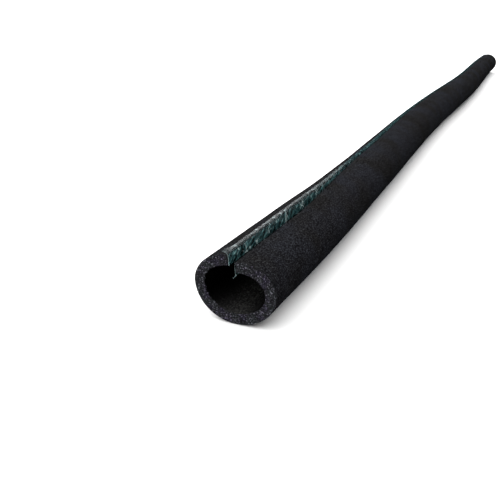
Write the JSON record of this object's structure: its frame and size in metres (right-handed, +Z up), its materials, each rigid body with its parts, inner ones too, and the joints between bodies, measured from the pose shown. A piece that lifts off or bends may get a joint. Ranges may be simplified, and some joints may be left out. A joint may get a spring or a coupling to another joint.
{
  "type": "pipe insulation lagging",
  "caption": "Flexible foam pipe lagging tube, slit lengthwise, with release films over the adhesive slit faces; the slit gapes at one end",
  "frame": {"origin": "middle of the bounding box's underside, on the floor that the tube lies on", "axes": "+Y along the tube, with the gaping end at -Y and the closed end at +Y; +Z up, out of the slit; +X to the right of someone who looks into the gaping end"},
  "size_m": [0.0728, 2, 0.0619],
  "materials": {
    "foam": "closed-cell elastomeric foam: matt black moulded skin, speckled cut faces",
    "release_film": "thin crinkled film, translucent green, glossy"
  },
  "bodies": {
    "root": {"foam_tube": "foam", "release_film_left": "release_film", "release_film_right": "release_film"}
  },
  "joints": []
}
